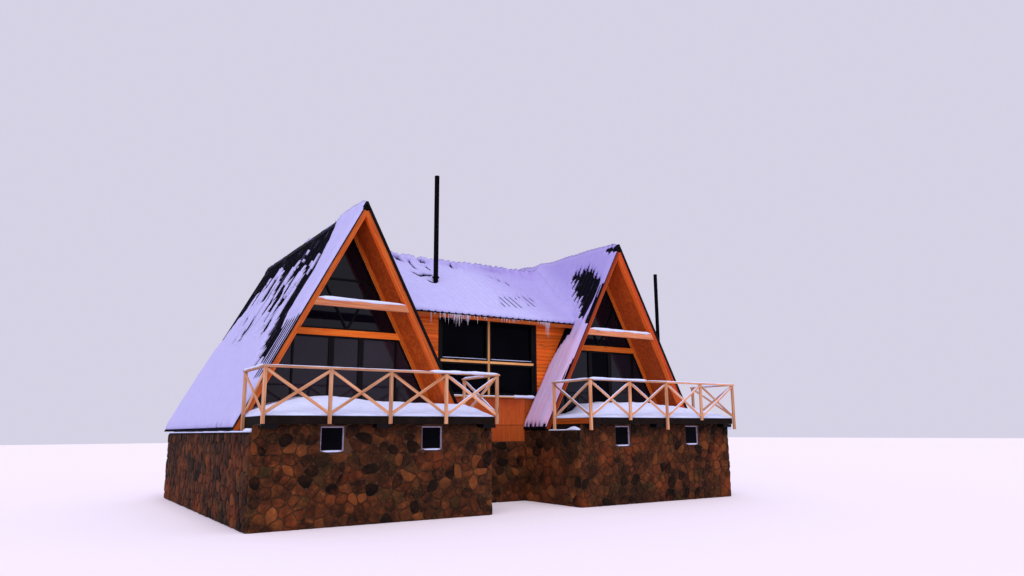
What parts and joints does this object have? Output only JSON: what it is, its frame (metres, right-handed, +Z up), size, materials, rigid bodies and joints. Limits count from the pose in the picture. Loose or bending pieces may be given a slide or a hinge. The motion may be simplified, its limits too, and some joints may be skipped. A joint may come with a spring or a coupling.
{
  "type": "double a-frame cabin",
  "caption": "Twin A-frame cabin: glazed gables with cross-braced balconies on a stone base, joined by a lower link with a wide window.",
  "frame": {"origin": "on the underside of the basement floor, midway between the two wings and under the link's ridge", "axes": "+Z up, +X to the right seen from the balconies' side, +Y from the balconies to the back"},
  "size_m": [13.9991, 10.5875, 9.4],
  "materials": {
    "stone_wall": "rough",
    "concrete": "matt",
    "floor_timber": "satin",
    "deck_edge": "matt",
    "rim_timber": "satin",
    "soffit_boards": "satin",
    "roofing": "satin",
    "stained_timber": "satin",
    "collar_timber": "satin",
    "glazing_bars": "satin",
    "glass": "gloss",
    "siding": "satin",
    "window_timber": "satin",
    "cellar_frame": "matt",
    "peeled_pine": "satin",
    "flue_steel": "matt",
    "lying_snow": "matt"
  },
  "bodies": {
    "root": {"basement_floor": "concrete", "left_base_front_wall": "stone_wall", "right_base_front_wall": "stone_wall", "left_base_outer_wall": "stone_wall", "right_base_outer_wall": "stone_wall", "base_inner_walls": "stone_wall", "base_back_walls": "stone_wall", "link_base_walls": "stone_wall", "basement_window_frames": "cellar_frame", "basement_window_glass": "glass", "main_floor": "floor_timber", "left_deck": "deck_edge", "right_deck": "deck_edge", "deck_rim_beams": "rim_timber", "left_wing_left_slope": "soffit_boards", "left_wing_right_slope": "soffit_boards", "right_wing_left_slope": "soffit_boards", "right_wing_right_slope": "soffit_boards", "left_wing_roofing": "roofing", "right_wing_roofing": "roofing", "left_wing_barge_boards": "stained_timber", "right_wing_barge_boards": "stained_timber", "collar_beams": "collar_timber", "left_gable_frame": "stained_timber", "right_gable_frame": "stained_timber", "left_gable_bars": "glazing_bars", "right_gable_bars": "glazing_bars", "left_gable_glass": "glass", "right_gable_glass": "glass", "left_back_gable": "siding", "right_back_gable": "siding", "back_window_frames": "window_timber", "link_front_wall": "siding", "link_back_wall": "siding", "link_window_frames": "window_timber", "window_glass": "glass", "link_front_slope": "soffit_boards", "link_back_slope": "soffit_boards", "link_roofing": "roofing", "link_fascias": "stained_timber", "left_front_railing": "peeled_pine", "right_front_railing": "peeled_pine", "left_side_railings": "peeled_pine", "right_side_railings": "peeled_pine", "left_balcony_snow": "lying_snow", "right_balcony_snow": "lying_snow", "flue_pipes": "flue_steel"}
  },
  "joints": []
}
